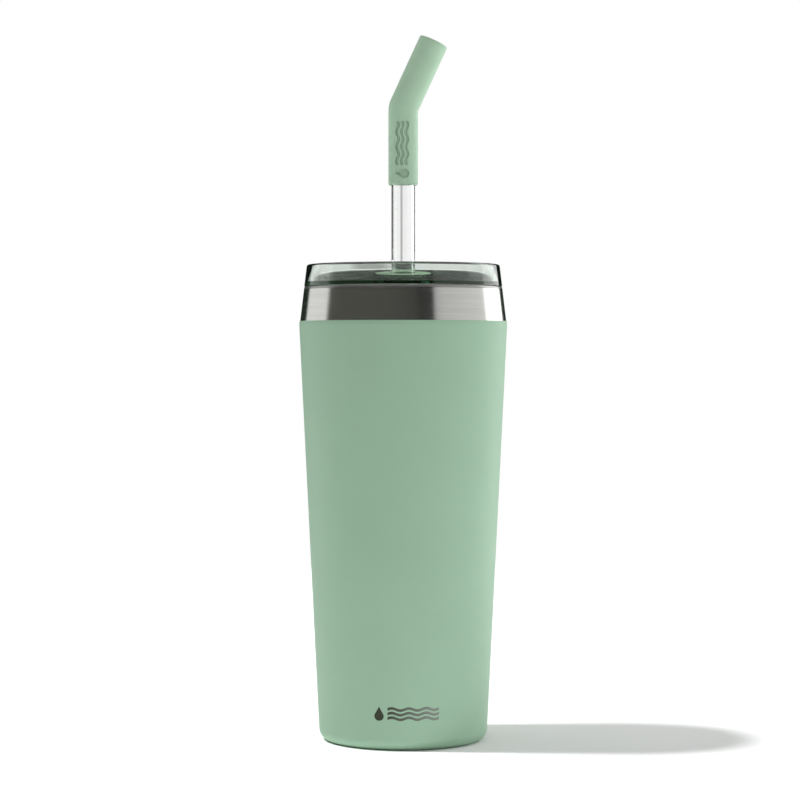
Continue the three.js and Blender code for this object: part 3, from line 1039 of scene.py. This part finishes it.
def studio_world():
    """A dim studio with tall soft panels to the sides and a broad light overhead. What the
    camera sees past the object is plain white, and so is the backdrop seen straight through."""
    world = bpy.data.worlds.new("studio")
    bpy.context.scene.world = world
    world.use_nodes = True
    tree = world.node_tree
    tree.nodes.clear()

    def put(value, socket):
        if hasattr(value, "links"):
            tree.links.new(value, socket)
        else:
            socket.default_value = value

    def calc(operation, *inputs):
        node = tree.nodes.new("ShaderNodeMath")
        node.operation = operation
        for value, socket in zip(inputs, node.inputs):
            put(value, socket)
        return node.outputs[0]

    def mix(factor, first, second):
        node = tree.nodes.new("ShaderNodeMix")
        node.data_type = "RGBA"
        put(factor, node.inputs["Factor"])
        put(first, node.inputs["A"])
        put(second, node.inputs["B"])
        return node.outputs["Result"]

    def plain(light):
        return (*[light / PEAK] * 3, 1)

    direction = tree.nodes.new("ShaderNodeTexCoord").outputs["Generated"]
    split = tree.nodes.new("ShaderNodeSeparateXYZ")
    tree.links.new(direction, split.inputs[0])
    axes = split.outputs
    azimuth = calc("ARCTAN2", axes["X"], calc("MULTIPLY", axes["Y"], -1.0))

    ramp = tree.nodes.new("ShaderNodeValToRGB")
    stops = ramp.color_ramp.elements
    while len(stops) < len(PANELS):
        stops.new(0.5)
    for stop, (degrees, light) in zip(stops, PANELS):
        stop.position = (degrees + 180) / 360
        tinted = DARK_FRONT if abs(degrees) < 100 else DARK_BACK
        tinted = tinted if light < 0.2 else (1, 1, 1)
        stop.color = (*(light / PEAK * c for c in tinted), 1)
    tree.links.new(calc("MULTIPLY_ADD", azimuth, 1 / math.tau, 0.5), ramp.inputs["Fac"])

    height = tree.nodes.new("ShaderNodeMapRange")
    start, end = (math.sin(math.radians(degrees)) for degrees in PANEL_TOP)
    values(height, From_Min=start, From_Max=end)
    tree.links.new(axes["Z"], height.inputs["Value"])
    studio = mix(height.outputs["Result"], ramp.outputs["Color"], plain(OVERHEAD))
    below = calc("LESS_THAN", axes["Z"], math.sin(math.radians(FLOOR_EDGE)))
    studio = mix(below, studio, plain(FAR_FLOOR))

    path = tree.nodes.new("ShaderNodeLightPath").outputs
    behind = calc("GREATER_THAN", calc("ABSOLUTE", azimuth), math.radians(130))
    straight = calc("LESS_THAN", path["Glossy Depth"], 0.5)
    shallow = calc("LESS_THAN", path["Transmission Depth"], 8.5)
    clear = calc("MULTIPLY", path["Is Transmission Ray"], behind)
    through = calc("MULTIPLY", calc("MULTIPLY", straight, shallow), clear)

    def step(value, start, end):
        node = tree.nodes.new("ShaderNodeMapRange")
        node.interpolation_type = "SMOOTHSTEP"
        put(value, node.inputs["Value"])
        values(node, From_Min=math.radians(start), From_Max=math.radians(end))
        return node.outputs["Result"]

    sideways = calc("ARCTAN2", axes["X"], axes["Y"])
    post = calc("SUBTRACT", step(sideways, *POST_EDGES[:2]), step(sideways, *POST_EDGES[2:]))
    backdrop = calc("MULTIPLY_ADD", post, -POST * BACKDROP / PEAK, BACKDROP / PEAK)
    level = mix(path["Is Camera Ray"], mix(through, studio, backdrop), plain(1))

    background = tree.nodes.new("ShaderNodeBackground")
    values(background, Strength=PEAK)
    tree.links.new(level, background.inputs["Color"])
    output = tree.nodes.new("ShaderNodeOutputWorld")
    tree.links.new(background.outputs[0], output.inputs["Surface"])


def floor_finish():
    m = Finish("pale_floor")
    colour = tuple(bpy.context.scene.tumbler_colours.floor)
    m.constants(Specular_IOR_Level=0.0)
    shade = m.shades(m.noise(0.4, detail=2), scaled(colour, 0.995), scaled(colour, 1.005))
    m.drive("Base Color", shade)
    m.drive("Roughness", m.between(m.noise(0.05), 0.85, 0.95))
    return m.material


class TUMBLER_OT_stage(Operator):
    """Make the pale floor, the studio light and the camera"""

    bl_idname = "tumbler.stage"
    bl_label = "Stage"

    def execute(self, context):
        scene = context.scene
        deselect()
        bpy.ops.mesh.primitive_circle_add(
            vertices=128, radius=FLOOR_RADIUS, fill_type="NGON", location=(0, 0, -0.00002)
        )
        floor = context.object
        floor.name = "floor"
        settle(floor)
        floor.data.materials.append(floor_finish())

        bpy.ops.object.light_add(type="SUN")
        key = context.object
        key.name = "key_light"
        key.data.energy = KEY_ENERGY
        key.data.angle = math.radians(KEY_WIDTH)
        toward = Vector((1, 0.0, -math.tan(math.radians(KEY_HEIGHT)))).normalized()
        key.rotation_mode = "QUATERNION"
        key.rotation_quaternion = toward.to_track_quat("-Z", "Y")
        lit = bpy.data.collections.new("key_light_receivers")
        lit.objects.link(floor)
        key.light_linking.receiver_collection = lit
        shading = bpy.data.collections.new("key_light_blockers")
        for name in ("outer_wall", "colour_coat", "inner_wall", "bottom_plate", "clear_lid", "seal_ring"):
            shading.objects.link(bpy.data.objects[name])
        key.light_linking.blocker_collection = shading

        studio_world()

        bpy.ops.object.camera_add(location=EYE, rotation=(math.radians(90 - EYE_DOWN), 0, 0))
        camera = context.object
        camera.data.sensor_width = 36
        camera.data.lens = LENS
        camera.data.clip_start = 0.01
        camera.data.clip_end = 100
        scene.camera = camera

        scene.view_settings.view_transform = "Standard"
        scene.cycles.use_denoising = True
        scene.cycles.max_bounces = 24
        scene.cycles.transmission_bounces = 20
        scene.cycles.glossy_bounces = 8
        return {"FINISHED"}


# ------------------------------------------------------------------ the panel and the run


STEPS = (
    TUMBLER_OT_outer_wall,
    TUMBLER_OT_colour_coat,
    TUMBLER_OT_inner_wall,
    TUMBLER_OT_bottom,
    TUMBLER_OT_vacuum_parts,
    TUMBLER_OT_lid,
    TUMBLER_OT_lid_seal,
    TUMBLER_OT_grommet,
    TUMBLER_OT_straw,
    TUMBLER_OT_mouthpiece,
    TUMBLER_OT_stage,
)
GROUPS = {
    "tumbler_cup": CupSizes,
    "tumbler_lid": LidSizes,
    "tumbler_straw": StrawSizes,
    "tumbler_colours": FinishColours,
}


class TUMBLER_PT_panel(Panel):
    """Lists the sizes, the colours and the steps"""

    bl_idname = "TUMBLER_PT_panel"
    bl_label = "Insulated Tumbler"
    bl_space_type = "VIEW_3D"
    bl_region_type = "UI"
    bl_category = "Tumbler"

    def draw(self, context):
        for group, kind in GROUPS.items():
            box = self.layout.box()
            for name in kind.__annotations__:
                box.prop(getattr(context.scene, group), name)
        for step in STEPS:
            self.layout.operator(step.bl_idname)


def register():
    for group, kind in GROUPS.items():
        bpy.utils.register_class(kind)
        setattr(bpy.types.Scene, group, PointerProperty(type=kind))
    for kind in (*STEPS, TUMBLER_PT_panel):
        bpy.utils.register_class(kind)


def unregister():
    for kind in (TUMBLER_PT_panel, *reversed(STEPS)):
        bpy.utils.unregister_class(kind)
    for group, kind in reversed(GROUPS.items()):
        delattr(bpy.types.Scene, group)
        bpy.utils.unregister_class(kind)


def main():
    register()
    bpy.ops.tumbler.outer_wall()
    bpy.ops.tumbler.colour_coat()
    bpy.ops.tumbler.inner_wall()
    bpy.ops.tumbler.bottom()
    bpy.ops.tumbler.vacuum_parts()
    bpy.ops.tumbler.lid()
    bpy.ops.tumbler.lid_seal()
    bpy.ops.tumbler.grommet()
    bpy.ops.tumbler.straw()
    bpy.ops.tumbler.mouthpiece()
    bpy.ops.tumbler.stage()


if __name__ == "__main__":
    main()
